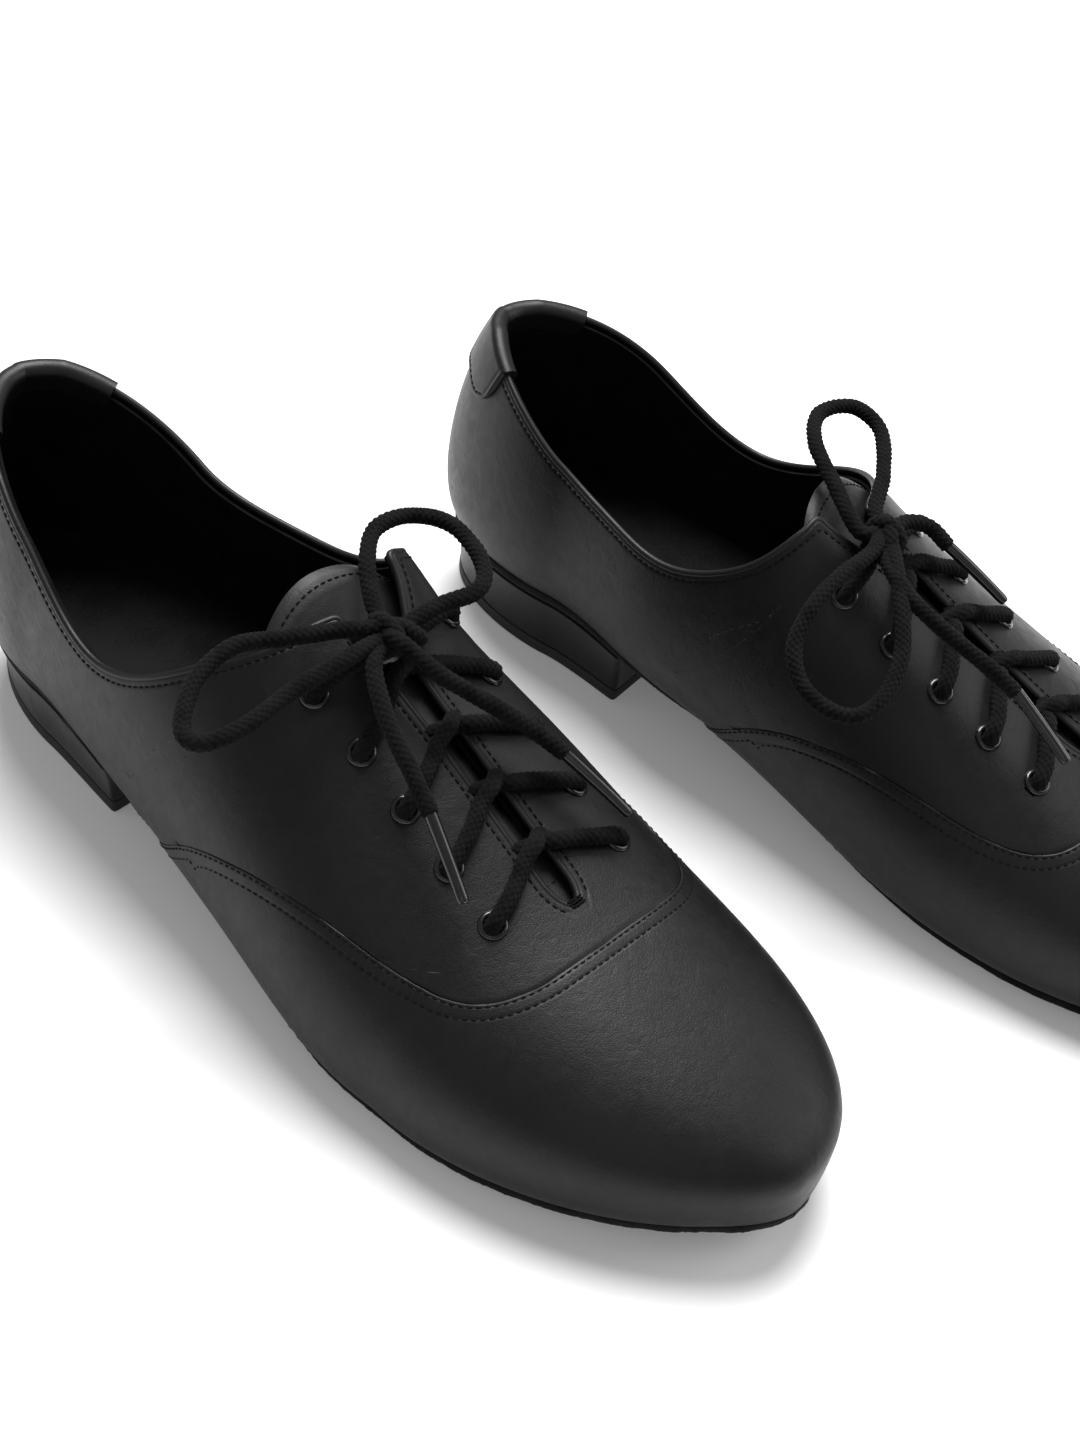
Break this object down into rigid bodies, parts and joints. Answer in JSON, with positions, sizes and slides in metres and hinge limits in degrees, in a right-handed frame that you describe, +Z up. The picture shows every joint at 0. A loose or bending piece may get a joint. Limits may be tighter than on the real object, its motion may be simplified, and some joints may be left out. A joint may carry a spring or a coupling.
{
  "type": "pair of lace-up dance shoes",
  "caption": "Pair of black leather lace-up oxford dance shoes with low block heels, suede soles, bound throats and round braided laces tied in bows.",
  "frame": {"origin": "centre of the right heel's flat bottom, on the floor", "axes": "+Z up, toes towards -Y, the right shoe's outer side towards -X, the left shoe on the +X side"},
  "size_m": [0.2546, 0.3436, 0.101],
  "materials": {
    "leather": "satin, very fine grain",
    "lining": "matt",
    "suede": "napped suede",
    "fibre_board": "pressed leather fibre board",
    "heel": "smooth, satin lacquer",
    "rubber": "matt",
    "steel": "brushed",
    "eyelet": "glossy black lacquer",
    "cord": "round braid, matt",
    "aglet": "glossy"
  },
  "bodies": {
    "right_shoe": {"right_outsole_rear": "suede", "right_insole_board_rear": "fibre_board", "right_heel_sock": "lining", "right_shank": "steel", "right_heel_block": "heel", "right_heel_top_piece": "rubber", "right_heel_screw": "steel", "right_heel_counter": "fibre_board", "right_vamp_rear": "leather", "right_quarter_lateral": "leather", "right_quarter_medial": "leather", "right_lining_lateral": "lining", "right_lining_medial": "lining", "right_heel_tab": "leather", "right_eyelets_lateral": "eyelet", "right_eyelets_medial": "eyelet", "right_lace": "cord"},
    "right_forefoot": {"right_outsole_toe": "suede", "right_insole_board_toe": "fibre_board", "right_toe_puff": "fibre_board", "right_vamp_toe": "leather"},
    "right_tongue_body": {"right_tongue": "leather"},
    "right_lateral_loop": {"right_bow_loop_lateral": "cord"},
    "right_lateral_end": {"right_lace_end_lateral": "cord", "right_aglet_lateral": "aglet"},
    "right_medial_loop": {"right_bow_loop_medial": "cord"},
    "right_medial_end": {"right_lace_end_medial": "cord", "right_aglet_medial": "aglet"},
    "left_shoe": {"left_outsole_rear": "suede", "left_insole_board_rear": "fibre_board", "left_heel_sock": "lining", "left_shank": "steel", "left_heel_block": "heel", "left_heel_top_piece": "rubber", "left_heel_screw": "steel", "left_heel_counter": "fibre_board", "left_vamp_rear": "leather", "left_quarter_lateral": "leather", "left_quarter_medial": "leather", "left_lining_lateral": "lining", "left_lining_medial": "lining", "left_heel_tab": "leather", "left_eyelets_lateral": "eyelet", "left_eyelets_medial": "eyelet", "left_lace": "cord"},
    "left_forefoot": {"left_outsole_toe": "suede", "left_insole_board_toe": "fibre_board", "left_toe_puff": "fibre_board", "left_vamp_toe": "leather"},
    "left_tongue_body": {"left_tongue": "leather"},
    "left_lateral_loop": {"left_bow_loop_lateral": "cord"},
    "left_lateral_end": {"left_lace_end_lateral": "cord", "left_aglet_lateral": "aglet"},
    "left_medial_loop": {"left_bow_loop_medial": "cord"},
    "left_medial_end": {"left_lace_end_medial": "cord", "left_aglet_medial": "aglet"}
  },
  "joints": [
    {"name": "right_toe_flex", "type": "hinge", "parent": "right_shoe", "child": "right_forefoot", "pos_m": [0.005, -0.186, 0.0035], "axis": [-1, 0, 0], "range_deg": [0, 15]},
    {"name": "right_tongue_tilt", "type": "hinge", "parent": "right_shoe", "child": "right_tongue_body", "pos_m": [0.0105, -0.173, 0.038], "axis": [-1, 0, 0], "range_deg": [0, 12]},
    {"name": "right_lateral_loop_lift", "type": "hinge", "parent": "right_shoe", "child": "right_lateral_loop", "pos_m": [0.008, -0.099, 0.089], "axis": [0.1414, 0.9899, 0], "range_deg": [0, 20]},
    {"name": "right_medial_loop_lift", "type": "hinge", "parent": "right_shoe", "child": "right_medial_loop", "pos_m": [0.008, -0.099, 0.089], "axis": [0.4327, -0.9015, 0], "range_deg": [0, 20]},
    {"name": "right_lateral_end_lift", "type": "hinge", "parent": "right_shoe", "child": "right_lateral_end", "pos_m": [0.008, -0.099, 0.089], "axis": [-0.9048, 0.4258, 0], "range_deg": [0, 20]},
    {"name": "right_medial_end_lift", "type": "hinge", "parent": "right_shoe", "child": "right_medial_end", "pos_m": [0.008, -0.099, 0.089], "axis": [-0.9182, -0.3961, 0], "range_deg": [0, 20]},
    {"name": "left_toe_flex", "type": "hinge", "parent": "left_shoe", "child": "left_forefoot", "pos_m": [0.16638, -0.2358, 0.0035], "axis": [-0.9808, -0.1951, 0], "range_deg": [0, 15]},
    {"name": "left_tongue_tilt", "type": "hinge", "parent": "left_shoe", "child": "left_tongue_body", "pos_m": [0.15845, -0.22412, 0.038], "axis": [-0.9808, -0.1951, 0], "range_deg": [0, 12]},
    {"name": "left_lateral_loop_lift", "type": "hinge", "parent": "left_shoe", "child": "left_lateral_loop", "pos_m": [0.13725, -0.15085, 0.0898], "axis": [0.8666, -0.499, 0], "range_deg": [0, 20]},
    {"name": "left_medial_loop_lift", "type": "hinge", "parent": "left_shoe", "child": "left_medial_loop", "pos_m": [0.13725, -0.15085, 0.0898], "axis": [-0.3318, 0.9433, 0], "range_deg": [0, 20]},
    {"name": "left_lateral_end_lift", "type": "hinge", "parent": "left_shoe", "child": "left_lateral_end", "pos_m": [0.13725, -0.15085, 0.0898], "axis": [-0.7141, -0.7, 0], "range_deg": [0, 20]},
    {"name": "left_medial_end_lift", "type": "hinge", "parent": "left_shoe", "child": "left_medial_end", "pos_m": [0.13725, -0.15085, 0.0898], "axis": [-0.9968, 0.0797, 0], "range_deg": [0, 20]},
    {"name": "left_shoe_lift", "type": "slide", "parent": "right_shoe", "child": "left_shoe", "axis": [0, 0, 1], "range_m": [0, 0.15]}
  ]
}
